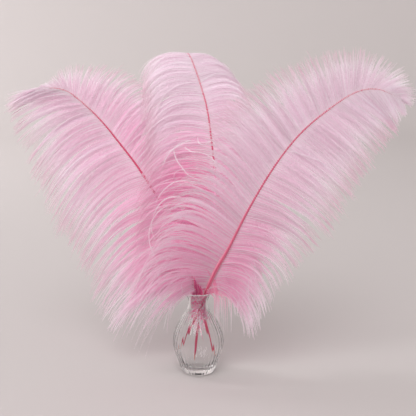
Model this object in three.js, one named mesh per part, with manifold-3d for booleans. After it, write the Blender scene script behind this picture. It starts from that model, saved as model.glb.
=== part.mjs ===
// Three dyed ostrich plumes standing in a small fluted glass bud vase.
// Units are millimetres, +Z is up, and the origin is the centre of the vase's foot on the table.
// +X is to the right and +Y to the back when the plumes are seen from the front.
// Each plume is one solid: a tapering shaft with the locks of its two vanes grown from it.

import * as THREE from "three";
import { mergeVertices } from "three/addons/utils/BufferGeometryUtils.js";
import Module from "manifold-3d";

const wasm = await Module();
wasm.setup();

// Vase: the profile runs up the outside as [radius, height] and down the inside.
const FOOT_RADIUS = 18;
const VASE_HEIGHT = 118.5;
const BELLY_RADIUS = 36.4;
const NECK_RADIUS = 14.4;
const BASE_THICKNESS = 7;
const OUTSIDE = [
  [0, 0],
  [FOOT_RADIUS, 0],
  [25.6, 9],
  [30, 21],
  [34.4, 33],
  [BELLY_RADIUS, 45],
  [35, 57],
  [30.4, 69.5],
  [24.2, 81],
  [18, 91],
  [NECK_RADIUS, 100],
  [NECK_RADIUS, 108],
  [17.4, 114],
  [21, 117.6],
  [20.9, VASE_HEIGHT],
];
const INSIDE = [
  [20, 118.3],
  [13.1, 108],
  [13, 100],
  [16.5, 90.6],
  [28.8, 69],
  [34.8, 45],
  [32.8, 33.6],
  [22, 12.8],
  [0, BASE_THICKNESS],
];
const FLUTES = 32;
const STEPS_PER_FLUTE = 2;
const FLUTE_DEPTH = 0.55;
const FLUTES_FADE_FROM = 84; // the flutes run out into the smooth neck between these heights
const FLUTES_FADE_TO = 98;

// Plumes
const SHAFT_SIDES = 5;
const SHAFT_STEPS = 30;
const SHAFT_RADII = [
  [0, 0.5],
  [0.03, 1.9],
  [0.18, 1.95],
  [0.24, 2.7],
  [0.34, 2.4],
  [0.5, 1.8],
  [0.8, 1.1],
  [1, 0.4],
];
const LOCKS_PER_SIDE = 20;
const LOCK_STEPS = 5;
const LOCK_THICKNESS = 0.8;
const LOCK_TIP_THICKNESS = 0.3;
const LOCK_SHARE = 0.42; // half a lock's width, as a share of the room from one lock to the next
const LOCK_TAPER_FROM = 0.55; // a lock is parallel up to here, then narrows to its tip
const LOCK_TIP_WIDTH = 0.12;
const BARB_STEPS = 20; // steps along a barb as gravity bends it
const CURVE_STEPS = 240;
const SMALLEST_DETAIL = 0.05; // slivers where the locks meet the shaft are closed up below this size
const STAGGER = 0.007; // the right vane starts this much higher on the shaft and ends as much lower
const BARE_TIP = 0.01; // the locks end this far below the barb table's last station
const TWIST_FROM = 0.6;
const DOWN = new THREE.Vector3(0, 0, -1);

// A vane's stations are [share of the shaft's length, barb length, angle from the shaft in degrees,
// sag, late, lift]. Sag is how strongly gravity bends the barb, late how much of that comes near its tip,
// and lift how far the barb leans to the front face.
const RIGHT_PLUME = {
  name: "right_feather",
  twist: 0,
  shaft: [
    [-27, 5.5, 32],
    [4, -3, 97],
    [10.5, -6, 119],
    [25, -14, 154],
    [42, -21, 186],
    [70, -32, 244],
    [104, -42, 304],
    [137, -48, 348],
    [173, -51, 380],
    [208, -51, 403],
    [236, -49, 408],
    [261, -46, 400],
    [274, -43, 391],
  ],
  left: [
    [0.2, 148, 100, 2, 0.3, 0.46],
    [0.235, 154, 90, 2.2, 1, 0.43],
    [0.27, 154, 82, 2.4, 2, 0.39],
    [0.35, 140, 73, 2.2, 2, 0.28],
    [0.43, 120, 67, 1.5, 2, 0.2],
    [0.5, 112, 66, 1, 2, 0.13],
    [0.6, 108, 70, 0.6, 1, 0.06],
    [0.7, 93, 74, 0.45, 0.5, 0],
    [0.78, 80, 74, 0.25, 0, 0],
    [0.9, 49, 62, 0.3, 0, 0],
    [0.96, 33, 40, 0.5, 0, 0],
    [0.995, 18, 15, 0.4, 0, 0],
  ],
  right: [
    [0.2, 102, 78, 2.7, 0.5, 0.1],
    [0.235, 102, 67, 2.6, 1, 0.1],
    [0.27, 99, 60, 2.3, 1, 0.1],
    [0.35, 101, 65, 1.5, 1, 0.1],
    [0.43, 106, 76, 0.9, 1, 0.1],
    [0.5, 112, 84, 0.6, 1, 0.1],
    [0.63, 112, 89, 0.35, 1, 0.05],
    [0.78, 98, 76, 0.3, 1, 0],
    [0.9, 66, 54, 0.35, 1, 0],
    [0.995, 20, 18, 0.4, 0, 0],
  ],
};
const LEFT_PLUME = {
  name: "left_feather",
  twist: 0,
  shaft: [
    [24, -10, 27],
    [8.3, -0.3, 80],
    [3.3, 3, 97],
    [-1.7, 7, 112],
    [-14.6, 18, 149],
    [-33.4, 34, 194],
    [-58, 50, 243],
    [-87, 62, 287],
    [-111, 68, 318],
    [-140, 70, 354],
    [-170, 66, 384],
    [-191, 60, 399],
    [-215, 52, 403],
    [-232, 46, 398],
  ],
  left: [
    [0.215, 152, 62, 1.6, 0, -0.1],
    [0.27, 160, 60, 1.55, 0, -0.15],
    [0.38, 158, 62, 1.5, 0, -0.1],
    [0.5, 158, 66, 1.4, 0, -0.05],
    [0.63, 150, 66, 1.3, 0, 0],
    [0.78, 126, 55, 1.2, 0, 0],
    [0.9, 92, 27, 0.6, 0, 0],
    [0.995, 52, -8, 0.25, 0, 0],
  ],
  right: [
    [0.215, 84, 66, 1.7, 1, -0.5],
    [0.27, 92, 66, 1.7, 1, -0.5],
    [0.38, 100, 66, 1.6, 1, -0.5],
    [0.5, 110, 68, 1.5, 1, -0.45],
    [0.63, 110, 70, 1.4, 1, -0.4],
    [0.72, 95, 74, 1.3, 1, -0.35],
    [0.78, 78, 74, 1.1, 1, -0.3],
    [0.86, 51, 64, 0.8, 0, -0.2],
    [0.93, 22, 42, 0.4, 0, -0.1],
    [0.995, 9, 15, 0.3, 0, 0],
  ],
};
const MIDDLE_PLUME = {
  name: "middle_feather",
  twist: 27,
  shaft: [
    [-5.7, 11, 13],
    [-0.3, 10, 68],
    [3.4, 8.6, 105],
    [8.3, 10, 127],
    [18.3, 14, 184],
    [23, 18, 244],
    [24, 21, 279],
    [17, 30, 346],
    [12, 38, 377],
    [5.4, 46, 401],
    [-2.2, 57, 424],
    [-12, 76, 447],
    [-18, 98, 449],
    [-23, 118, 433],
  ],
  left: [
    [0.23, 130, 72, 2.2, 1, -0.1],
    [0.4, 126, 70, 1.7, 1, 0],
    [0.55, 122, 70, 1.7, 1, 0.1],
    [0.68, 120, 72, 1.9, 1, 0.15],
    [0.8, 116, 72, 2.1, 1, 0.1],
    [0.88, 103, 74, 2.1, 1, 0],
    [0.94, 80, 68, 2, 1, 0],
    [0.995, 40, 40, 1.4, 1, 0],
  ],
  right: [
    [0.23, 92, 72, 2.2, 1, -0.2],
    [0.4, 106, 78, 2.2, 1, -0.15],
    [0.55, 104, 84, 2.1, 1, -0.1],
    [0.68, 100, 82, 2, 1, 0],
    [0.8, 98, 80, 2.1, 1, 0],
    [0.88, 94, 80, 2.1, 1, 0],
    [0.94, 72, 74, 1.9, 1, 0],
    [0.995, 36, 40, 1.3, 1, 0],
  ],
};

const GLASS = new THREE.MeshStandardMaterial({
  color: 0xe9eeee,
  roughness: 0.03,
  metalness: 0,
  transparent: true,
  opacity: 0.35,
});
const PLUME = { color: 0xe6b3cb, roughness: 0.8, metalness: 0 };

// A straight-line reading of a table of [position, value, value, ...] rows.
function read(table, at) {
  const after = Math.max(1, table.findIndex((row) => row[0] >= at));
  const last = at > table.at(-1)[0] ? table.length - 1 : after;
  const [low, high] = [table[last - 1], table[last]];
  const share = THREE.MathUtils.clamp((at - low[0]) / (high[0] - low[0]), 0, 1);
  return low.slice(1).map((value, k) => value + (high[k + 1] - value) * share);
}

// Whether the diagonal from a to c of the patch a, b, c, d lies further out than the one from b to d.
function bulgesOut(a, b, c, d) {
  const outwards = c.clone().sub(a).cross(d.clone().sub(b));
  const apart = a.clone().add(c).sub(b).sub(d);
  return apart.dot(outwards) > 0;
}

// The closed surface over rings of equal size, with a fan across the first and the last.
// Each patch is split along the diagonal that lies further out, so that a twisted strip keeps its thickness.
function loft(rings) {
  const around = rings[0].length;
  const points = rings.flat();
  const index = [];
  for (let i = 0; i + 1 < rings.length; i++) {
    for (let j = 0; j < around; j++) {
      const a = i * around + j;
      const b = i * around + ((j + 1) % around);
      const [c, d] = [b + around, a + around];
      if (bulgesOut(points[a], points[b], points[c], points[d])) {
        index.push(a, b, c, a, c, d);
      } else {
        index.push(a, b, d, b, c, d);
      }
    }
  }
  const end = (rings.length - 1) * around;
  for (let j = 1; j + 1 < around; j++) {
    index.push(0, j + 1, j);
    index.push(end, end + j, end + j + 1);
  }
  const geometry = new THREE.BufferGeometry();
  const position = points.flatMap((point) => point.toArray());
  geometry.setAttribute("position", new THREE.Float32BufferAttribute(position, 3));
  geometry.setIndex(index);
  return geometry;
}

function toSolid(geometry) {
  const bare = geometry.clone();
  bare.deleteAttribute("normal");
  bare.deleteAttribute("uv");
  const merged = mergeVertices(bare, 1e-4);
  return new wasm.Manifold(
    new wasm.Mesh({
      numProp: 3,
      vertProperties: new Float32Array(merged.attributes.position.array),
      triVerts: new Uint32Array(merged.index.array),
    }),
  );
}

function toGeometry(solid) {
  const mesh = solid.getMesh();
  const geometry = new THREE.BufferGeometry();
  geometry.setAttribute("position", new THREE.BufferAttribute(mesh.vertProperties, 3));
  geometry.setIndex(new THREE.BufferAttribute(mesh.triVerts, 1));
  geometry.computeVertexNormals();
  return geometry;
}

// The vase is a lathe profile whose outside is pressed in between its ribs.
function vase() {
  const profile = [...OUTSIDE, ...INSIDE].map(([r, z]) => new THREE.Vector2(r, z));
  const geometry = new THREE.LatheGeometry(profile, FLUTES * STEPS_PER_FLUTE);
  const position = geometry.attributes.position;
  const point = new THREE.Vector3();
  for (let i = 0; i < position.count; i++) {
    point.fromBufferAttribute(position, i);
    const outside = i % profile.length < OUTSIDE.length;
    const radius = Math.hypot(point.x, point.z);
    if (!outside || radius === 0) continue;
    const rib = (1 + Math.cos(Math.atan2(point.x, point.z) * FLUTES)) / 2;
    const fade = 1 - THREE.MathUtils.smoothstep(point.y, FLUTES_FADE_FROM, FLUTES_FADE_TO);
    const pressed = 1 - (FLUTE_DEPTH * fade * (1 - rib)) / radius;
    position.setXYZ(i, point.x * pressed, point.y, point.z * pressed);
  }
  geometry.rotateX(Math.PI / 2);
  return geometry;
}

// The shaft's centre line as evenly spaced frames: point, tangent, and the direction across the vanes.
// That direction is carried along the curve, and turns about the shaft only beyond TWIST_FROM.
function framesAlong(points, twist) {
  const curve = new THREE.CatmullRomCurve3(
    points.map((p) => new THREE.Vector3(...p)),
    false,
    "catmullrom",
    0.5,
  );
  curve.arcLengthDivisions = CURVE_STEPS * 2;
  const frames = [];
  const carried = new THREE.Vector3(1, 0, 0);
  for (let i = 0; i <= CURVE_STEPS; i++) {
    const share = i / CURVE_STEPS;
    const tangent = curve.getTangentAt(share);
    carried.addScaledVector(tangent, -carried.dot(tangent)).normalize();
    const turn = THREE.MathUtils.degToRad(twist) * THREE.MathUtils.smoothstep(share, TWIST_FROM, 1);
    const across = carried.clone().applyAxisAngle(tangent, turn);
    frames.push({ point: curve.getPointAt(share), tangent, across });
  }
  return frames;
}

function frameAt(frames, share) {
  const at = THREE.MathUtils.clamp(share, 0, 1) * CURVE_STEPS;
  const low = Math.min(Math.floor(at), CURVE_STEPS - 1);
  const mix = (key) => frames[low][key].clone().lerp(frames[low + 1][key], at - low);
  return { point: mix("point"), tangent: mix("tangent").normalize(), across: mix("across").normalize() };
}

// The points of one barb: it leaves the shaft at its station's angle and gravity bends it on its way.
// sway leans it to the front or the back.
function barb(frames, stations, side, share, sway) {
  const { point, tangent, across } = frameAt(frames, share);
  const [length, angle, sag, late, lift] = read(stations, share);
  const face = across.clone().cross(tangent);
  const lean = THREE.MathUtils.degToRad(angle);
  const direction = tangent.clone().multiplyScalar(Math.cos(lean));
  direction.addScaledVector(across, side * Math.sin(lean)).addScaledVector(face, lift + sway).normalize();
  const points = [point.clone()];
  for (let i = 0; i < BARB_STEPS; i++) {
    const along = (i + 0.5) / BARB_STEPS;
    direction.addScaledVector(DOWN, (sag * (1 + late) * along ** late) / BARB_STEPS).normalize();
    point.addScaledVector(direction, length / BARB_STEPS);
    points.push(point.clone());
  }
  return points;
}

// A lock is a flat strip between two barbs with a ridge on one face, and it narrows to its tip.
function lock(frames, stations, side, share, halfWidth, sway) {
  const low = barb(frames, stations, side, share - halfWidth, sway);
  const high = barb(frames, stations, side, share + halfWidth, sway);
  const middles = low.map((point, i) => point.clone().lerp(high[i], 0.5));
  const rings = [];
  for (let i = 0; i <= LOCK_STEPS; i++) {
    const along = i / LOCK_STEPS;
    const at = Math.round(along * BARB_STEPS);
    const middle = middles[at];
    const forward = middles[Math.max(at, 1)].clone().sub(middles[Math.max(at, 1) - 1]);
    const wide = high[at].clone().sub(low[at]);
    const thick = wide.clone().cross(forward).normalize();
    thick.multiplyScalar(THREE.MathUtils.lerp(LOCK_THICKNESS, LOCK_TIP_THICKNESS, along));
    const narrowing = THREE.MathUtils.smoothstep(along, LOCK_TAPER_FROM, 1);
    wide.multiplyScalar(THREE.MathUtils.lerp(1, LOCK_TIP_WIDTH, narrowing) / 2);
    rings.push([
      middle.clone().add(wide),
      middle.clone().sub(wide),
      middle.clone().add(thick),
    ]);
  }
  return loft(rings);
}

function shaft(frames) {
  const rings = [];
  for (let i = 0; i <= SHAFT_STEPS; i++) {
    const share = i / SHAFT_STEPS;
    const { point, tangent, across } = frameAt(frames, share);
    const face = across.clone().cross(tangent);
    const [radius] = read(SHAFT_RADII, share);
    rings.push(
      Array.from({ length: SHAFT_SIDES }, (_, j) => {
        const turn = (-2 * Math.PI * j) / SHAFT_SIDES;
        return point
          .clone()
          .addScaledVector(across, radius * Math.cos(turn))
          .addScaledVector(face, radius * Math.sin(turn));
      }),
    );
  }
  return loft(rings);
}

function plume({ name, twist, shaft: points, left, right }) {
  const frames = framesAlong(points, twist);
  const pieces = [shaft(frames)];
  for (const [side, stations] of [
    [-1, left],
    [1, right],
  ]) {
    const inset = side > 0 ? STAGGER : 0;
    const from = stations[0][0] + inset;
    const room = (stations.at(-1)[0] - BARE_TIP - inset - from) / LOCKS_PER_SIDE;
    for (let i = 0; i < LOCKS_PER_SIDE; i++) {
      const sway = 0.06 * Math.cos(i * Math.PI);
      pieces.push(lock(frames, stations, side, from + (i + 0.5) * room, LOCK_SHARE * room, sway));
    }
  }
  const solid = wasm.Manifold.union(pieces.map(toSolid)).simplify(SMALLEST_DETAIL);
  const mesh = new THREE.Mesh(toGeometry(solid), new THREE.MeshStandardMaterial(PLUME));
  mesh.name = name;
  return mesh;
}

const arrangement = new THREE.Group();
const vaseMesh = new THREE.Mesh(vase(), GLASS);
vaseMesh.name = "vase";
arrangement.add(vaseMesh, plume(RIGHT_PLUME), plume(MIDDLE_PLUME), plume(LEFT_PLUME));

export default arrangement;
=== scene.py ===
import math

import bpy
import numpy as np
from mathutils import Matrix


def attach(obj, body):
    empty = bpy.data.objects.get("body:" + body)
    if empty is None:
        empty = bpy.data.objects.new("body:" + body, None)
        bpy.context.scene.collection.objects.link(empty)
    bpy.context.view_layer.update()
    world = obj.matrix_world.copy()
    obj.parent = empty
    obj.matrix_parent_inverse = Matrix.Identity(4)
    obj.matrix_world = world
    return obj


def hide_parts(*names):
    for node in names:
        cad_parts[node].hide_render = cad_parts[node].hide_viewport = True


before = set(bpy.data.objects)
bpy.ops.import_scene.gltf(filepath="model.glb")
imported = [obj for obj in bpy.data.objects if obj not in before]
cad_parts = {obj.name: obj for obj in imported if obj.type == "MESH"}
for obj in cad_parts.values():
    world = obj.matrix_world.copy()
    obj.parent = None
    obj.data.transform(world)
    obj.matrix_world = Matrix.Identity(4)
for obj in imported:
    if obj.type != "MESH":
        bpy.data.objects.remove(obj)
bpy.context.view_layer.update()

MM = 0.001
DOWN = np.array([0.0, 0.0, -1.0])

# ---------------------------------------------------------------- sizes, in millimetres

# Vase profile as (radius, height): up the outside, over the lip and down the inside.
OUTSIDE = [
    (18, 0),
    (21.5, 2),
    (25.6, 9),
    (30, 21),
    (34.4, 33),
    (36.4, 45),
    (35, 57),
    (30.4, 69.5),
    (24.2, 81),
    (18, 91),
    (14.4, 100),
    (14.4, 108),
    (17.4, 114),
    (21, 117.6),
    (20.9, 118.5),
]
INSIDE = [
    (20, 118.3),
    (16.4, 114.4),
    (13.1, 108),
    (13, 100),
    (16.5, 90.6),
    (22.7, 80.4),
    (28.8, 69),
    (33.4, 56.4),
    (34.8, 45),
    (32.8, 33.6),
    (28.2, 22),
    (22, 12.8),
    (13, 8),
]
FLOOR_OF_VASE = 7
FLUTES = 32
FLUTE_DEPTH = 0.55
FLUTES_FADE = (84, 98)  # heights between which the flutes run out
STEPS_PER_FLUTE = 6
ROWS_PER_SPAN = 5
# Rows of the profile before and after its top that make the lip, which gets nearly opaque white glass as a
# painted highlight.
LIP_ROWS_OUTSIDE = 3
LIP_ROWS_INSIDE = 2

# Places along a shaft are shares of its length, from the quill's end (0) to the plume's tip (1).
SHAFT_RADII = [
    (0, 0.5),
    (0.03, 1.45),
    (0.16, 1.7),
    (0.2, 3),
    (0.26, 3.2),
    (0.36, 2),
    (0.5, 1.8),
    (0.8, 1.35),
    (0.92, 1),
    (1, 0.4),
]
SHAFT_SIDES = 12
SHAFT_STEPS = 160
SHAFT_THICKNESS = 0.85  # from front to back, as a share of the width
GROOVE_WIDTH = 0.85  # as a share of the radius, like its depth
GROOVE_DEPTH = 0.22
# Shares between which each change along the shaft comes about.
QUILL_TIP_TO = (0.004, 0.022)
QUILL_TO = (0.15, 0.21)
FORWARD_FROM = (0.17, 0.22)
FORWARD_TO = (0.35, 0.5)
REDDER_FROM = (0.3, 0.55)
TWIST_FROM = 0.6  # from here to the tip
CURVE_STEPS = 60  # between two of a curve's points
CENTRE_STEPS = 240  # along a whole centre line

BARB_STEPS = 16
BARB_SPACING = 1.05
BARBULES_PER_MM = 2.5
BARBULE_LENGTH = 4.2
BARBULE_WIDTH = 0.58
BARBULE_ROOT_LEAN = 52  # degrees from the barb, at the barb's root
BARBULE_TIP_LEAN = 26
LOOSE_BARBULES_PER_MM = 1.5
POINT_HALF_WIDTH = 0.02  # half the width of a strip at its point
# The first barb of a lock is its widest and lies in front of the others. Its strip is paler: the barb's
# own paler core with a painted highlight along it; the other barbs' strips get a weaker painted highlight.
LEAD_WIDTH, OTHER_WIDTH, VANE_TIP_SHARE = 1.05, 0.5, 0.45
LEAD_HIGHLIGHT, OTHER_HIGHLIGHT = 0.9, 0.3
LEAD_FACE, OTHER_FACES = 0.9, [0.5, -0.5, -0.9]
LOCK_SHADE, BARB_SHADE = 0.035, 0.02

LOCK_SIZES = (3, 4)  # barbs drawn together in a lock
GROUP_SIZES = (10, 24)  # barbs that change together
# How much barbs vary: each by itself, each lock, and each group.
LENGTH_VARIES = (0.045, 0.018, 0.012)
LEAN_VARIES = (0.9, 0.45, 0.2)
SAG_VARIES = (0.05, 0.03, 0.015)
SAG_SHIFTS = (0.02, 0.02, 0)
LIFT_VARIES = (0.03, 0.02, 0.01)
CURL_VARIES = (0.10, 0.12, 0.06)
# Share of the barbs that are shortened, and how much larger it is at the foot of a vane.
SHORT_SHARE, SHORT_SHARE_AT_FOOT = 0.1, 0.4
SHORT_LENGTHS = (0.45, 0.95)  # as a share of the full length
STRAY_SHARE = 0.08  # share of the barbs that stray out of their lock's direction
STRAY_LIFT = 0.25
# How much more the lean varies in strays and near the foot of a vane.
STRAY_LOOSE, FOOT_LOOSE = 9, 2.2
RUFFLED_CURL = 0.6
# How far barbs are drawn together in a lock, and how much less at their tips and on the upper vane.
LOCK_PULL, TIP_PARTING, UPPER_PARTING = 0.75, 0.6, 0.6
# Height of the waves of a lock and of each barb, at the tip of a barb of this length.
WAVE, FINE_WAVE, WAVE_LENGTH = 1.2, 0.5, 120

HANGING, RUFF, IN_NECK = range(3)  # kinds of down
RUFF_COUNT = 50
NECK_COUNT = 260
# As (height, distance from the vase's axis): the least for hanging barbs, the most for other down.
ROOM_OUTSIDE = [(20, 34), (45, 40), (57, 39), (75, 31), (90, 23), (108, 20), (119, 24), (127, 0)]
ROOM_IN_NECK = [
    (60, 26),
    (72, 21),
    (82, 15.5),
    (91, 11),
    (98, 10),
    (107, 10.5),
    (114, 14),
    (118, 17),
    (126, 60),
]
TUFT_COUNT = 40
TUFT_LENGTH = 30  # about how long a strand of the tuft is
# Loose barbs that curl over the front of the right plume's left vane.
CURLS = [
    [(-17, -62, 332), (-8, -68, 327), (5, -72, 326), (18, -74, 320), (23, -72, 311), (22, -66, 297)],
    [(-32, -62, 330), (-28, -70, 317), (-19, -75, 305), (-11, -76, 296), (2, -74, 291), (15, -66, 293)],
    [(-9, -58, 341), (-22, -66, 337), (-34, -72, 329), (-43, -74, 316), (-48, -72, 299), (-53, -66, 279)],
    [(-2, -60, 285), (-18, -68, 288), (-32, -73, 286), (-45, -74, 276), (-54, -70, 262), (-60, -64, 245)],
    [(0, -56, 345), (2, -64, 338), (10, -69, 336), (18, -66, 341), (25, -66, 333), (23, -60, 320)],
    [(-23, -62, 266), (-37, -70, 266), (-50, -75, 258), (-59, -74, 241), (-62, -70, 223), (-57, -64, 207)],
    [(-40, -64, 254), (-53, -72, 246), (-62, -76, 231), (-65, -74, 211), (-61, -68, 191), (-55, -62, 176)],
]

SIDES = {"left": -1, "right": 1}

# What a plume's table says:
# shaft         points on its centre line, from the quill's end
# twist         degrees that the vanes turn about the shaft towards the tip
# left, right   the stations of the two vanes
# left_darker_pink_and_shade  (share of the shaft, how deep the pink is) for the left vane,
#               right_darker_pink_and_shade for the right one; the deep pink is partly the feathers' own
#               deeper pink at the foot of a vane and partly painted shade where one plume's vane lies
#               behind another
# darker_pink_and_shade_fade  how much of the deep pink and painted shade is gone at the barbs' tips
# ruffled       how much less orderly the lower barbs of each vane are
# loose_tip     how many times as much the barbs' lean varies at the plume's tip
# thin_tip      share of the barbs that is missing at the plume's tip
# red_shaft     how red the edges of the upper shaft are
# covered_to    shares between which the pink down on the front of the shaft ends
# shaft_forward how far the lower shaft stands in front of the vanes
# hanging       number of barbs that hang beside the vase
# A station is (share of the shaft, barb length, angle from the shaft in degrees, sag, late, lift). Sag is
# how strongly gravity bends the barb, late how much of that comes near its tip, and lift how far the barb
# leans to the front face.
RIGHT_PLUME = {
    "name": "right_feather",
    "hanging": 34,
    "loose_tip": 1.5,
    "thin_tip": 0,
    "seed": 11,
    "red_shaft": 0.5,
    "covered_to": (-1, 0),
    "shaft_forward": 2.2,
    "darker_pink_and_shade_fade": 0.85,
    "ruffled": {"left": 0.4, "right": 0},
    "left_darker_pink_and_shade": [(0.2, 0.62), (0.32, 0.35), (0.45, 0.1), (1, 0)],
    "right_darker_pink_and_shade": [(0.2, 0.75), (0.3, 0.6), (0.45, 0.3), (0.6, 0.1), (1, 0)],
    "twist": 0,
    "shaft": [
        (-27, 5.5, 32),
        (4, -3, 97),
        (10.5, -6, 119),
        (25, -14, 154),
        (42, -21, 186),
        (70, -32, 244),
        (104, -42, 304),
        (137, -48, 348),
        (173, -51, 380),
        (208, -51, 403),
        (236, -49, 408),
        (261, -46, 400),
        (274, -43, 391),
    ],
    "left": [
        (0.2, 148, 100, 2.0, 0.3, 0.46),
        (0.235, 154, 90, 2.2, 1, 0.43),
        (0.27, 154, 82, 2.4, 2, 0.39),
        (0.35, 140, 73, 2.2, 2, 0.28),
        (0.43, 126, 65, 1.4, 2, 0.2),
        (0.5, 124, 64, 0.9, 2, 0.13),
        (0.6, 112, 69, 0.55, 1, 0.06),
        (0.7, 89, 74, 0.45, 0.5, 0),
        (0.78, 77, 74, 0.25, 0, 0),
        (0.9, 47, 62, 0.3, 0, 0),
        (0.96, 33, 40, 0.5, 0, 0),
        (0.995, 18, 15, 0.4, 0, 0),
    ],
    "right": [
        (0.2, 102, 78, 2.7, 0.5, 0.1),
        (0.235, 102, 67, 2.6, 1, 0.1),
        (0.27, 99, 60, 2.3, 1, 0.1),
        (0.35, 101, 65, 1.5, 1, 0.1),
        (0.43, 106, 76, 0.9, 1, 0.1),
        (0.5, 112, 84, 0.6, 1, 0.1),
        (0.63, 112, 89, 0.35, 1, 0.05),
        (0.78, 98, 76, 0.3, 1, 0),
        (0.9, 66, 54, 0.35, 1, 0),
        (0.995, 20, 18, 0.4, 0, 0),
    ],
}
LEFT_PLUME = {
    "name": "left_feather",
    "hanging": 0,
    "loose_tip": 5,
    "thin_tip": 0.4,
    "seed": 23,
    "red_shaft": 1,
    "covered_to": (0.44, 0.52),
    "shaft_forward": 0,
    "darker_pink_and_shade_fade": 0.7,
    "ruffled": {"left": 0.5, "right": 3},
    "left_darker_pink_and_shade": [(0.215, 0.6), (0.4, 0.65), (0.6, 0.3), (1, 0.05)],
    "right_darker_pink_and_shade": [(0.215, 1.1), (0.5, 0.75), (0.6, 0.45), (0.7, 0.3), (0.8, 0.2), (1, 0.05)],
    "twist": 0,
    "shaft": [
        (24, -10, 27),
        (8.3, -0.3, 80),
        (3.3, 3, 97),
        (-1.7, 7, 112),
        (-14.6, 18, 149),
        (-33.4, 34, 194),
        (-58, 50, 243),
        (-87, 62, 287),
        (-111, 68, 318),
        (-140, 70, 354),
        (-170, 66, 384),
        (-191, 60, 399),
        (-215, 52, 403),
        (-232, 46, 398),
    ],
    "left": [
        (0.215, 152, 62, 1.6, 0, -0.1),
        (0.27, 160, 60, 1.55, 0, -0.15),
        (0.38, 158, 62, 1.5, 0, -0.1),
        (0.5, 158, 66, 1.4, 0, -0.05),
        (0.63, 150, 66, 1.3, 0, 0),
        (0.78, 126, 55, 1.2, 0, 0),
        (0.9, 88, 27, 0.6, 0, 0),
        (0.995, 45, -8, 0.25, 0, 0),
    ],
    "right": [
        (0.215, 84, 66, 1.7, 1, -0.5),
        (0.27, 92, 66, 1.7, 1, -0.5),
        (0.38, 100, 66, 1.6, 1, -0.5),
        (0.5, 109, 68, 1.5, 1, -0.42),
        (0.63, 115, 70, 1.4, 1, -0.31),
        (0.72, 108, 72, 1.25, 1, -0.28),
        (0.78, 93, 72, 1.0, 1, -0.27),
        (0.86, 54, 62, 0.8, 0, -0.2),
        (0.93, 16, 42, 0.4, 0, -0.1),
        (0.995, 6, 15, 0.3, 0, 0),
    ],
}
MIDDLE_PLUME = {
    "name": "middle_feather",
    "hanging": 0,
    "loose_tip": 4,
    "thin_tip": 0.2,
    "seed": 37,
    "red_shaft": 1,
    "covered_to": (0.5, 0.62),
    "shaft_forward": 0,
    "darker_pink_and_shade_fade": 0.45,
    "ruffled": {"left": 2.5, "right": 0.6},
    "left_darker_pink_and_shade": [(0.23, 1.1), (0.5, 1.1), (0.6, 0.6), (0.68, 0.15), (0.8, 0), (1, 0)],
    "right_darker_pink_and_shade": [(0.23, 1.1), (0.5, 0.8), (0.65, 0.2), (0.8, 0), (1, 0)],
    "twist": 27,
    "shaft": [
        (-5.7, 11, 13),
        (-0.3, 10, 68),
        (3.4, 8.6, 105),
        (8.3, 10, 127),
        (18.3, 14, 184),
        (23, 18, 244),
        (24, 21, 279),
        (17, 30, 346),
        (12, 38, 377),
        (5.4, 46, 401),
        (-2.2, 57, 424),
        (-12, 76, 447),
        (-18, 98, 449),
        (-23, 118, 433),
    ],
    "left": [
        (0.23, 130, 72, 2.2, 1, -0.1),
        (0.4, 126, 70, 1.7, 1, 0),
        (0.55, 122, 70, 1.7, 1, 0.1),
        (0.68, 110, 72, 1.9, 1, 0.15),
        (0.8, 104, 72, 2.1, 1, 0.1),
        (0.88, 92, 74, 2.1, 1, 0),
        (0.94, 80, 68, 2, 1, 0),
        (0.995, 40, 40, 1.4, 1, 0),
    ],
    "right": [
        (0.23, 92, 72, 2.2, 1, -0.2),
        (0.4, 106, 78, 2.2, 1, -0.15),
        (0.55, 98, 84, 2.2, 1, -0.1),
        (0.68, 88, 82, 2.2, 1, 0),
        (0.8, 88, 80, 2.3, 1, 0),
        (0.88, 86, 80, 2.2, 1, 0),
        (0.94, 72, 74, 1.9, 1, 0),
        (0.995, 36, 40, 1.3, 1, 0),
    ],
}

BOWL_HEIGHT = -0.0004  # in metres, just below the vase's foot

# ---------------------------------------------------------------- colours, linear

PINK = np.array([0.92, 0.79, 0.868])
PALE_PINK = np.array([0.93, 0.895, 0.93])
# Near white pink: the pale ends of loose down and the curls, and the colour of painted highlights on the
# barbs' strips and painted glints on the down in the neck.
WHITE_PINK_AND_HIGHLIGHT = np.array([0.95, 0.905, 0.935])
# Deep pink: the down on the front of the shaft, and in the vanes partly painted shade.
DEEP_PINK_AND_SHADE = np.array([0.93, 0.44, 0.67])
TIP_PINK = np.array([0.78, 0.50, 0.60])
NECK_PINK = np.array([0.96, 0.24, 0.50])
TUFT_PINK = np.array([0.88, 0.22, 0.46])
SHAFT_PINK = np.array([0.56, 0.06, 0.15])
SHAFT_EDGE = np.array([0.82, 0.41, 0.51])
QUILL_RED = np.array([0.55, 0.06, 0.13])
QUILL_TIP = np.array([0.55, 0.16, 0.08])
BOWL_COLOUR = (0.50, 0.462, 0.458, 1)


def unit(v):
    return v / np.maximum(np.linalg.norm(v, axis=-1, keepdims=True), 1e-9)


def smoothstep(x, low, high):
    t = np.clip((x - low) / (high - low), 0, 1)
    return t * t * (3 - 2 * t)


def blend(a, b, share):
    return a + (b - a) * share


def read(table, at):
    """The table's columns after the first, each read along straight lines at these positions."""
    rows = np.array(table, float)
    return [np.interp(at, rows[:, 0], rows[:, k]) for k in range(1, rows.shape[1])]


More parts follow.
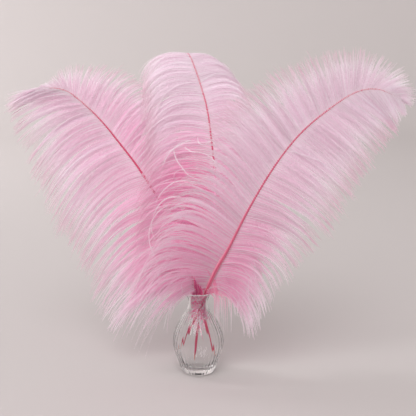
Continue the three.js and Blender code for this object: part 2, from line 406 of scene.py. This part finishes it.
def smooth_through(points, per_span):
    """A Catmull-Rom curve through the points."""
    p = np.array(points, float)
    p = np.vstack([2 * p[0] - p[1], p, 2 * p[-1] - p[-2]])
    t = np.linspace(0, 1, per_span, endpoint=False)[:, None]
    spans = []
    for a, b, c, d in zip(p[:-3], p[1:-2], p[2:-1], p[3:]):
        m0, m1 = (c - a) / 2, (d - b) / 2
        spans.append(
            (2 * t**3 - 3 * t**2 + 1) * b
            + (t**3 - 2 * t**2 + t) * m0
            + (3 * t**2 - 2 * t**3) * c
            + (t**3 - t**2) * m1
        )
    return np.vstack([*spans, p[-2:-1]])


def closed_rings(rows, around):
    """Triangles between rings of points, and from the first and the last ring to one more point each."""
    i, j = np.meshgrid(np.arange(rows - 1), np.arange(around), indexing="ij")
    a, b = i * around + j, i * around + (j + 1) % around
    walls = np.stack([a, b, b + around, a, b + around, a + around], axis=-1).reshape(-1, 3)
    k = np.arange(around)
    following = (k + 1) % around
    last = (rows - 1) * around
    start = np.stack([np.full(around, rows * around), following, k], axis=1)
    end = np.stack([np.full(around, rows * around + 1), last + k, last + following], axis=1)
    return np.vstack([walls, start, end])


def make_object(name, points_mm, faces, colours=None, smooth=False):
    """One mesh object from points, triangles, and a colour for each point."""
    mesh = bpy.data.meshes.new(name)
    corners = faces.shape[1]
    mesh.vertices.add(len(points_mm))
    mesh.vertices.foreach_set("co", (points_mm * MM).astype(np.float32).ravel())
    mesh.loops.add(faces.size)
    mesh.loops.foreach_set("vertex_index", faces.astype(np.int32).ravel())
    mesh.polygons.add(len(faces))
    mesh.polygons.foreach_set("loop_start", np.arange(0, faces.size, corners, dtype=np.int32))
    mesh.polygons.foreach_set("use_smooth", np.full(len(faces), smooth))
    if colours is not None:
        layer = mesh.color_attributes.new("tint", "FLOAT_COLOR", "POINT")
        rgba = np.hstack([colours, np.ones((len(colours), 1))])
        layer.data.foreach_set("color", rgba.astype(np.float32).ravel())
    mesh.update(calc_edges=True)
    mesh.validate()
    obj = bpy.data.objects.new(name, mesh)
    bpy.context.scene.collection.objects.link(obj)
    return obj


def put_on(obj, material, node):
    obj.data.materials.append(material)
    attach(obj, "root")
    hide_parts(node)


# ---------------------------------------------------------------- materials


def new_material(name):
    material = bpy.data.materials.new(name)
    material.use_nodes = True
    tree = material.node_tree
    tree.nodes.clear()
    output = tree.nodes.new("ShaderNodeOutputMaterial")
    return material, tree, output


def principled(tree, values):
    shader = tree.nodes.new("ShaderNodeBsdfPrincipled")
    for socket, value in values.items():
        shader.inputs[socket].default_value = value
    return shader


def tinted(tree):
    tint = tree.nodes.new("ShaderNodeVertexColor")
    tint.layer_name = "tint"
    return tint.outputs["Color"]


def barb_material():
    """Soft matt barbs that light also shines through."""
    material, tree, output = new_material("barbs")
    tint = tinted(tree)
    front = principled(tree, {"Roughness": 0.75, "Specular IOR Level": 0.25})
    through = tree.nodes.new("ShaderNodeBsdfTranslucent")
    mix = tree.nodes.new("ShaderNodeMixShader")
    mix.inputs[0].default_value = 0.5
    tree.links.new(tint, front.inputs["Base Color"])
    tree.links.new(tint, through.inputs["Color"])
    tree.links.new(front.outputs[0], mix.inputs[1])
    tree.links.new(through.outputs[0], mix.inputs[2])
    tree.links.new(mix.outputs[0], output.inputs["Surface"])
    return material


def shaft_material():
    """The shaft's smooth horn."""
    material, tree, output = new_material("shaft")
    horn = principled(tree, {"Roughness": 0.45, "Specular IOR Level": 0.3})
    tree.links.new(tinted(tree), horn.inputs["Base Color"])
    tree.links.new(horn.outputs[0], output.inputs["Surface"])
    return material


def plain_material(name, values):
    material, tree, output = new_material(name)
    tree.links.new(principled(tree, values).outputs[0], output.inputs["Surface"])
    return material


def glass_material(name, roughness, ior, transmission):
    values = {
        "Base Color": (1, 1, 1, 1),
        "Roughness": roughness,
        "IOR": ior,
        "Transmission Weight": transmission,
    }
    return plain_material(name, values)


# ---------------------------------------------------------------- the vase


def vase():
    clear = glass_material("vase_glass", 0.0, 1.3, 1.0)
    # The lip is nearly opaque white glass: a painted highlight for the bright line that the light makes
    # along the rim.
    lip_highlight = glass_material("vase_lip_highlight", 0.2, 1.48, 0.1)
    outside = smooth_through(OUTSIDE, ROWS_PER_SPAN)
    profile = np.vstack([outside, smooth_through(INSIDE, ROWS_PER_SPAN)])
    rows, around = len(profile), FLUTES * STEPS_PER_FLUTE
    turn = np.arange(around) * 2 * math.pi / around
    rib = (1 + np.cos(turn * FLUTES)) / 2
    depth = FLUTE_DEPTH * (1 - smoothstep(profile[:, 1], *FLUTES_FADE))
    radius = profile[:, :1] - depth[:, None] * (1 - rib)[None, :]
    height = np.repeat(profile[:, 1:], around, axis=1)
    rings = np.stack([radius * np.cos(turn), radius * np.sin(turn), height], axis=2)
    points = np.vstack([rings.reshape(-1, 3), [(0, 0, 0), (0, 0, FLOOR_OF_VASE)]])
    obj = make_object("glass_vase", points, closed_rings(rows, around), smooth=True)
    put_on(obj, clear, "vase")
    obj.data.materials.append(lip_highlight)
    row = np.arange(rows - 1)
    on_lip = (row >= len(outside) - LIP_ROWS_OUTSIDE) & (row < len(outside) + LIP_ROWS_INSIDE)
    index = np.concatenate([np.repeat(on_lip, 2 * around), np.zeros(2 * around)])
    obj.data.polygons.foreach_set("material_index", index.astype(np.int32))


# ---------------------------------------------------------------- the plumes


def frames_along(points, twist):
    """Even points on a curve, its direction, the directions across it and to its front, and its length."""
    dense = smooth_through(points, CURVE_STEPS)
    length = np.concatenate([[0], np.cumsum(np.linalg.norm(np.diff(dense, axis=0), axis=1))])
    even = np.linspace(0, length[-1], CENTRE_STEPS + 1)
    centre = np.stack([np.interp(even, length, dense[:, k]) for k in range(3)], axis=1)
    tangent = unit(np.gradient(centre, axis=0))
    across = np.empty_like(tangent)
    carried = np.array([1.0, 0, 0])
    for i, t in enumerate(tangent):
        carried = unit(carried - carried.dot(t) * t)
        turn = math.radians(twist) * smoothstep(i / CENTRE_STEPS, TWIST_FROM, 1)
        across[i] = carried * math.cos(turn) + np.cross(t, carried) * math.sin(turn)
    return centre, tangent, across, np.cross(across, tangent), length[-1]


def frame_at(frames, share):
    """The curve's point and its three directions at these shares of its length."""
    at = np.clip(share, 0, 1) * CENTRE_STEPS
    low = np.minimum(at.astype(int), CENTRE_STEPS - 1)
    mix = (at - low)[:, None]
    return [f[low] * (1 - mix) + f[low + 1] * mix for f in frames[:4]]


def shaft(plume, frames, material):
    share = np.linspace(0, 1, SHAFT_STEPS + 1)
    centre, _, across, front = frame_at(frames, share)
    forward = smoothstep(share, *FORWARD_FROM) * (1 - smoothstep(share, *FORWARD_TO))
    centre = centre + front * (plume["shaft_forward"] * forward)[:, None]
    (radius,) = read(SHAFT_RADII, share)
    turn = np.arange(SHAFT_SIDES) * 2 * math.pi / SHAFT_SIDES
    # The front and the back are darker than the edges, and a shallow groove runs along the front.
    groove = np.exp(-((np.abs(np.cos(turn)) / GROOVE_WIDTH) ** 2))
    deep = 1 - GROOVE_DEPTH * groove * (np.sin(turn) > 0)
    wide = (radius[:, None] * deep * np.cos(turn))[:, :, None] * across[:, None]
    thick = (radius[:, None] * deep * np.sin(turn) * SHAFT_THICKNESS)[:, :, None] * front[:, None]
    rings = centre[:, None] + wide + thick
    redder = plume["red_shaft"] * smoothstep(share, *REDDER_FROM)
    redder = np.maximum(groove[None], redder[:, None])[:, :, None]
    colours = blend(SHAFT_EDGE, SHAFT_PINK, redder)
    covered = (1 - smoothstep(share, *plume["covered_to"]))[:, None] * (np.sin(turn) > 0)
    colours = blend(colours, DEEP_PINK_AND_SHADE, covered[:, :, None])
    colours = blend(colours, QUILL_RED, (1 - smoothstep(share, *QUILL_TO))[:, None, None])
    colours = blend(colours, QUILL_TIP, (1 - smoothstep(share, *QUILL_TIP_TO))[:, None, None])
    points = np.vstack([rings.reshape(-1, 3), centre[:1], centre[-1:]])
    tints = np.vstack([colours.reshape(-1, 3), QUILL_TIP, SHAFT_EDGE])
    faces = closed_rings(SHAFT_STEPS + 1, SHAFT_SIDES)[:, ::-1]
    obj = make_object(plume["name"] + "_shaft", points, faces, tints, True)
    put_on(obj, material, plume["name"])


def clumps(count, rng, sizes):
    """A number for each barb, the same for neighbours in clumps of these sizes."""
    number = np.repeat(np.arange(count), rng.integers(sizes[0], sizes[1] + 1, count))
    return number[:count]


def barb_curves(plume, frames, side_name, share, stray, rng):
    """The barbs' points, bent by gravity and drawn together in locks.

    Also gives each barb's length, its lock, and the shaft's direction at its root.
    """
    stations = plume[side_name]
    count = len(share)
    centre, tangent, across, front = frame_at(frames, share)
    length, angle, sag, late, lift = read(stations, share)
    lock = clumps(count, rng, LOCK_SIZES)
    group = clumps(count, rng, GROUP_SIZES)

    def vary(own, shared, wide):
        return (
            own * rng.standard_normal(count)
            + shared * rng.standard_normal(count)[lock]
            + wide * rng.standard_normal(count)[group]
        )

    length = length * (1 + vary(*LENGTH_VARIES))
    low = stations[0][0]
    at_foot = 1 - smoothstep(share, low, low + 0.12)
    shortened = rng.random(count) < SHORT_SHARE + SHORT_SHARE_AT_FOOT * at_foot
    length *= np.where(shortened, rng.uniform(*SHORT_LENGTHS, count), 1)
    loose = 1 + (plume["loose_tip"] - 1) * smoothstep(share, 0.88, 1)
    ruffled = plume["ruffled"][side_name] * (1 - smoothstep(share, 0.55, 0.75))
    loose = loose + FOOT_LOOSE * (1 - smoothstep(share, low + 0.02, low + 0.2)) + ruffled
    loose = loose + STRAY_LOOSE * stray
    length = length * np.where(stray, rng.uniform(*SHORT_LENGTHS, count), 1)
    lean = np.radians(angle + vary(*LEAN_VARIES) * loose)
    sag = sag * (1 + vary(*SAG_VARIES)) + vary(*SAG_SHIFTS)
    lift = lift + vary(*LIFT_VARIES) + stray * rng.uniform(-STRAY_LIFT, STRAY_LIFT, count)
    direction = unit(
        tangent * np.cos(lean)[:, None]
        + across * (SIDES[side_name] * np.sin(lean))[:, None]
        + front * lift[:, None]
    )
    curl = vary(*CURL_VARIES) * (1 + RUFFLED_CURL * ruffled)
    step = (length / BARB_STEPS)[:, None]
    points = [centre]
    for i in range(BARB_STEPS):
        u = (i + 0.5) / BARB_STEPS
        direction = direction + DOWN * (sag * (1 + late) * u**late / BARB_STEPS)[:, None]
        direction = unit(direction + front * (4 * curl * u**3 / BARB_STEPS)[:, None])
        points.append(points[-1] + direction * step)
    points = np.stack(points, axis=1)

    # The barbs of a lock come together along their middle and part again towards their tips.
    total = np.zeros((lock.max() + 1, BARB_STEPS + 1, 3))
    np.add.at(total, lock, points)
    mean = total / np.bincount(lock)[:, None, None]
    u = np.linspace(0, 1, BARB_STEPS + 1)
    pull = (smoothstep(u, 0.05, 0.5) - TIP_PARTING * smoothstep(u, 0.6, 1)) * LOCK_PULL
    own = rng.uniform(0.4, 1, count)[lock] * (1 - UPPER_PARTING * smoothstep(share, 0.5, 0.75))
    points = points + (mean[lock] - points) * (pull[None, :, None] * own[:, None, None])

    def waves(turns, start):
        return np.sin(2 * math.pi * (u[None] * turns[:, None] + start[:, None]))

    wave = waves(rng.uniform(0.8, 1.8, count)[lock], rng.random(count)[lock])
    fine = waves(rng.uniform(1.5, 3.5, count), rng.random(count))
    bend = (wave * WAVE + fine * FINE_WAVE) * u[None] * (length / WAVE_LENGTH)[:, None]
    points = points + bend[:, :, None] * front[:, None]
    points = points + (np.roll(fine, 1, axis=0) * FINE_WAVE * u[None])[:, :, None] * tangent[:, None]
    return points, length, lock, tangent


def barb_frames(points, towards_tip):
    """At each point of the barbs: the way along, the way to the plume's tip, and the way off the vane."""
    along = unit(np.gradient(points, axis=1))
    flat = towards_tip[:, None] - (towards_tip[:, None] * along).sum(2, keepdims=True) * along
    flat = unit(flat)
    return along, flat, np.cross(along, flat)


def ribbons(points, flat, tint, root_width, tip_share):
    """A narrow flat strip along each barb, pointed at its tip."""
    count, rows = points.shape[:2]
    u = np.linspace(0, 1, rows)
    root_width = np.broadcast_to(root_width, count)[:, None]
    half = root_width * (1 + (tip_share - 1) * u[None]) / 2
    half[:, -1] = POINT_HALF_WIDTH
    left = points - flat * half[:, :, None]
    right = points + flat * half[:, :, None]
    both = np.stack([left, right], axis=2).reshape(-1, 3)
    a = ((np.arange(count) * rows * 2)[:, None] + (np.arange(rows - 1) * 2)[None]).ravel()
    faces = np.concatenate([np.stack([a, a + 1, a + 3], axis=1), np.stack([a, a + 3, a + 2], axis=1)])
    return both, faces, np.repeat(tint.reshape(-1, 3), 2, axis=0)


def barbules(points, barb_frame, tint, length, rng, per_mm, reach):
    """Thin pointed filaments on both sides of each barb."""
    count, rows = points.shape[:2]
    many = np.maximum((length * per_mm).astype(int), 2)
    barb = np.repeat(np.arange(count), many)
    first = np.concatenate([[0], np.cumsum(many)[:-1]])
    k = np.arange(len(barb)) - first[barb]
    u = (k + rng.random(len(barb))) / many[barb]
    at = np.clip(u, 0, 0.999) * (rows - 1)
    low = at.astype(int)
    mix = (at - low)[:, None]

    def pick(values):
        return values[barb, low] * (1 - mix) + values[barb, low + 1] * mix

    root = pick(points)
    ahead, beside, up = map(pick, barb_frame)
    side = np.where(k % 2 == 0, 1.0, -1.0)
    lean = BARBULE_ROOT_LEAN - (BARBULE_ROOT_LEAN - BARBULE_TIP_LEAN) * u
    lean = np.radians(lean + rng.normal(0, 8, len(barb)))
    roll = rng.normal(0, 0.3, len(barb))
    # Barbules are shorter at the barb's root and towards its tip.
    size = reach * (0.55 + 0.45 * smoothstep(u, 0, 0.12)) * (1 - 0.62 * smoothstep(u, 0.5, 1))
    size = size * rng.uniform(0.65, 1.15, len(barb))
    out = (
        ahead * np.cos(lean)[:, None]
        + beside * (side * np.sin(lean) * np.cos(roll))[:, None]
        + up * (np.sin(lean) * np.sin(roll))[:, None]
    )
    tip = root + out * size[:, None] + DOWN * (0.12 * size)[:, None]
    half = ahead * (BARBULE_WIDTH / 2 * (1.2 - 0.5 * u))[:, None]
    triangles = np.stack([root - half, root + half, tip], axis=1).reshape(-1, 3)
    colour = pick(tint)
    edge = np.clip(colour * 1.06, 0, 1)
    colours = np.stack([colour, colour, edge], axis=1).reshape(-1, 3)
    return triangles, np.arange(len(triangles)).reshape(-1, 3), colours


def add_piece(plume_name, suffix, parts, material):
    """One piece of a plume from parts, each with its points, faces and colours."""
    points, faces, colours, start = [], [], [], 0
    for p, f, c in parts:
        points.append(p)
        faces.append(f + start)
        colours.append(c)
        start += len(p)
    obj = make_object(f"{plume_name}_{suffix}", np.vstack(points), np.vstack(faces), np.vstack(colours))
    put_on(obj, material, plume_name)


def loose_barbs(
    plume_name, suffix, material, points, towards_tip, tint, width, tip_share, length, rng, reach
):
    """A piece of loose barbs, each a strip with its barbules."""
    barb_frame = barb_frames(points, towards_tip)
    parts = [
        ribbons(points, barb_frame[1], tint, width, tip_share),
        barbules(points, barb_frame, tint, length, rng, LOOSE_BARBULES_PER_MM, reach),
    ]
    add_piece(plume_name, suffix, parts, material)


def vane_tint(plume, side_name, share, lock, rng):
    """The colour along each barb, and how near each point is to the darker tip."""
    count = len(share)
    u = np.linspace(0, 1, BARB_STEPS + 1)
    shade = rng.normal(0, LOCK_SHADE, count)[lock] + rng.normal(0, BARB_SHADE, count)
    paler = np.clip(smoothstep(u, 0.3, 1)[None, :] * 0.4 + shade[:, None] * 4, 0, 1)[:, :, None]
    tint = blend(PINK, PALE_PINK, paler)
    # Deep pink, partly the feathers' own deeper pink at the foot of a vane and partly painted shade in the
    # valleys where one plume's vane lies behind another.
    (deep,) = read(plume[side_name + "_darker_pink_and_shade"], share)
    deep = deep[:, None] * (1 - plume["darker_pink_and_shade_fade"] * smoothstep(u, 0.25, 0.9))[None, :]
    tint = blend(tint, DEEP_PINK_AND_SHADE, deep[:, :, None])
    tint = np.clip(tint * (1 + shade[:, None, None]), 0, 0.99)
    darker_tips = smoothstep(share, 0.22, 0.42) - 0.6 * smoothstep(share, 0.85, 0.95)
    near_tip = (darker_tips[:, None] * smoothstep(u, 0.62, 1)[None])[:, :, None]
    return blend(tint, TIP_PINK, 0.6 * near_tip), near_tip


def vane(plume, frames, side_name, material):
    side, stations = SIDES[side_name], plume[side_name]
    rng = np.random.default_rng(plume["seed"] + (0 if side < 0 else 1))
    low, high = stations[0][0], stations[-1][0]
    # The barbs stand closer together near the foot of the vane and in its upper half.
    grid = np.linspace(low, high, 200)
    crowd = 1 + 1.5 * (1 - smoothstep(grid, low, low + 0.11)) + 0.6 * smoothstep(grid, 0.5, 0.7)
    total = np.cumsum(crowd) / len(grid)
    count = int((high - low) * frames[4] * total[-1] / BARB_SPACING)
    share = np.interp((np.arange(count) + rng.random(count) * 0.8) / count * total[-1], total, grid)
    thinned = plume["thin_tip"] * smoothstep(share, 0.85, 0.98)
    share = share[rng.random(count) >= thinned]
    count = len(share)
    stray = rng.random(count) < STRAY_SHARE
    points, length, lock, towards_tip = barb_curves(plume, frames, side_name, share, stray, rng)
    barb_frame = barb_frames(points, towards_tip)
    _, flat, normal = barb_frame
    tint, near_tip = vane_tint(plume, side_name, share, lock, rng)
    leads = np.diff(lock, prepend=-1) > 0
    face = np.where(leads, LEAD_FACE, rng.choice(OTHER_FACES, count))[:, None, None] * normal * side
    # Painted highlight: each strip is blended towards near white, most on a lock's first barb and less
    # near the tips.
    painted_highlight = np.where(leads, LEAD_HIGHLIGHT, OTHER_HIGHLIGHT)[:, None, None] * (1 - near_tip)
    highlighted_strip_tint = blend(tint, WHITE_PINK_AND_HIGHLIGHT, painted_highlight)
    width = np.where(leads, LEAD_WIDTH, OTHER_WIDTH)
    parts = [
        ribbons(points + face, flat, highlighted_strip_tint, width, VANE_TIP_SHARE),
        barbules(points, barb_frame, tint, length, rng, BARBULES_PER_MM, BARBULE_LENGTH),
    ]
    add_piece(plume["name"], side_name + "_vane", parts, material)


def down(plume, frames, material):
    """Short down in the neck of the vase, a ruff over its lip, and the barbs that hang beside it."""
    rng = np.random.default_rng(plume["seed"] + 2)
    low = plume["left"][0][0]
    kind = np.repeat([HANGING, RUFF, IN_NECK], [plume["hanging"], RUFF_COUNT, NECK_COUNT])
    count = len(kind)

    def by_kind(*ranges):
        """A number for each barb, from the range of its kind."""
        bottom, top = np.array(ranges)[kind].T
        return rng.uniform(bottom, top)

    share = by_kind((low - 0.01, low + 0.03), (low - 0.03, low + 0.04), (0.11, low - 0.01))
    centre, tangent, across, front = frame_at(frames, share)
    turn = by_kind((-0.6, 0.9), (2.5, 6.9), (0, 6.28))
    lean = np.radians(by_kind((60, 100), (25, 100), (10, 165)))
    out = across * np.cos(turn)[:, None] + front * np.sin(turn)[:, None]
    direction = unit(tangent * np.cos(lean)[:, None] + out * np.sin(lean)[:, None])
    length = by_kind((40, 80), (18, 46), (12, 26))
    sag = by_kind((6, 12), (0.6, 2.4), (0.2, 1))
    step = (length / BARB_STEPS)[:, None]
    points = [centre]
    for _ in range(BARB_STEPS):
        direction = unit(direction + DOWN * (sag / BARB_STEPS)[:, None])
        points.append(points[-1] + direction * step)
    points = np.stack(points, axis=1)
    # The down stays clear of the glass, inside the neck or outside the vase.
    reach = np.maximum(np.hypot(points[:, :, 0], points[:, :, 1]), 0.1)
    height = points[:, :, 2]
    inside = np.minimum(1, np.interp(height, *zip(*ROOM_IN_NECK)) / reach)
    own = rng.uniform(24, 52, (count, 1)) * (1 - smoothstep(height, 114, 127))
    outside = np.maximum(1, np.maximum(np.interp(height, *zip(*ROOM_OUTSIDE)), own) / reach)
    points[:, :, :2] *= np.where((kind == HANGING)[:, None], outside, inside)[:, :, None]
    u = np.linspace(0, 1, BARB_STEPS + 1)[None, :, None]
    # In the neck many strips are wide and near white: painted glints on the down seen through the glass.
    paler = by_kind((0.1, 0.6), (-0.1, 0.7), (-1.1, 1.7))[:, None, None]
    tint = blend(NECK_PINK, WHITE_PINK_AND_HIGHLIGHT, np.clip(paler + 0.6 * smoothstep(u, 0.1, 0.9), 0, 1))
    width = by_kind((0.3, 0.6), (0.3, 0.6), (0.6, 1.6))
    loose_barbs(plume["name"], "down", material, points, tangent, tint, width, 0.3, length, rng, 2.0)


def tuft(material):
    """Dark strands in front of the right plume, which rise from the neck and are tallest at the left."""
    rng = np.random.default_rng(5)
    s = rng.random(TUFT_COUNT)
    foot_forward, foot_height = rng.uniform(-13, -10, TUFT_COUNT), rng.uniform(114, 120, TUFT_COUNT)
    foot = np.stack([13 * s - 8, foot_forward, foot_height], axis=1)
    tip_across, tip_forward = 14 * s - 10 + rng.normal(0, 1, TUFT_COUNT), rng.uniform(-27, -22, TUFT_COUNT)
    tip = np.stack([tip_across, tip_forward, 151 - 22 * s], axis=1)
    bulge = np.stack([1.5 * s, np.full(TUFT_COUNT, -2), np.zeros(TUFT_COUNT)], axis=1)
    u = np.linspace(0, 1, BARB_STEPS + 1)[None, :, None]
    points = foot[:, None] * (1 - u) + tip[:, None] * u + bulge[:, None] * 4 * u * (1 - u)
    tint = np.tile(TUFT_PINK, (*points.shape[:2], 1)) * rng.uniform(0.7, 1.12, (TUFT_COUNT, 1, 1))
    towards_tip = np.tile([1.0, 0, 0], (TUFT_COUNT, 1))
    length = np.full(TUFT_COUNT, TUFT_LENGTH)
    loose_barbs("right_feather", "tuft", material, points, towards_tip, tint, 1.1, 0.5, length, rng, 1.6)


def curls(material):
    rng = np.random.default_rng(71)
    share = np.linspace(0, 1, BARB_STEPS + 1)
    points = np.stack([frame_at(frames_along(curl, 0), share)[0] for curl in CURLS])
    length = np.linalg.norm(np.diff(points, axis=1), axis=2).sum(1)
    tint = np.tile(WHITE_PINK_AND_HIGHLIGHT, (*points.shape[:2], 1))
    towards_tip = np.tile([0.3, 0, 1.0], (len(points), 1))
    loose_barbs("right_feather", "curls", material, points, towards_tip, tint, 1.05, 0.5, length, rng, 2.2)


def plumes():
    barbs, horn = barb_material(), shaft_material()
    for plume in (RIGHT_PLUME, MIDDLE_PLUME, LEFT_PLUME):
        frames = frames_along(plume["shaft"], plume["twist"])
        shaft(plume, frames, horn)
        down(plume, frames, barbs)
        for side_name in SIDES:
            vane(plume, frames, side_name, barbs)
    tuft(barbs)
    curls(barbs)


# ---------------------------------------------------------------- camera, stage and light


def camera():
    data = bpy.data.cameras.new("camera")
    data.lens = 92.72
    data.sensor_width = 36
    cam = bpy.data.objects.new("camera", data)
    cam.location = (0.014, -1.4772, 0.4995)
    cam.rotation_euler = (math.radians(80), 0, 0)
    bpy.context.scene.collection.objects.link(cam)
    bpy.context.scene.camera = cam


def bowl():
    """A pale floor that curves up into a wall all round."""
    inner, bend, top = 3.2, 1.6, 3.4
    arc = [(inner + bend * math.sin(a), bend - bend * math.cos(a)) for a in np.radians(range(0, 91, 6))]
    profile = [(0.6, 0), (2, 0), *arc, (inner + bend, top)]
    around = 96
    turn = np.arange(around) * 2 * math.pi / around
    rings = [[(r * math.cos(t), r * math.sin(t), z) for t in turn] for r, z in profile]
    points = np.array([(0, 0, 0)] + [p for ring in rings for p in ring]) / MM
    faces = []
    for j in range(around):
        k = (j + 1) % around
        faces.append((0, 1 + j, 1 + k))
        for i in range(len(profile) - 1):
            a, b = 1 + i * around + j, 1 + i * around + k
            faces.append((a, a + around, b + around))
            faces.append((a, b + around, b))
    obj = make_object("bowl", points, np.array(faces), smooth=True)
    obj.location.z = BOWL_HEIGHT
    values = {"Base Color": BOWL_COLOUR, "Roughness": 0.9, "Specular IOR Level": 0.1}
    obj.data.materials.append(plain_material("backdrop", values))


def area_light(name, place, target, size, watts):
    data = bpy.data.lights.new(name, "AREA")
    data.shape = "DISK"
    data.size = size
    data.energy = watts
    light = bpy.data.objects.new(name, data)
    light.location = place
    way = np.array(target, float) - np.array(place, float)
    light.rotation_euler = (
        math.atan2(math.hypot(way[0], way[1]), -way[2]),
        0,
        math.atan2(way[0], -way[1]) + math.pi,
    )
    bpy.context.scene.collection.objects.link(light)


def lights():
    world = bpy.data.worlds.new("world")
    world.use_nodes = True
    sky = world.node_tree.nodes["Background"]
    sky.inputs["Color"].default_value = (1, 0.985, 0.97, 1)
    sky.inputs["Strength"].default_value = 0.79
    bpy.context.scene.world = world
    area_light("key", (-0.6, -2.4, 2.4), (0, 0, 0.2), 2.6, 84)
    area_light("wall", (-3.2, 1.2, 2.6), (-2.1, 4.6, 1.0), 1.6, 160)


vase()
plumes()
camera()
bowl()
lights()
bpy.context.scene.view_settings.view_transform = "Standard"
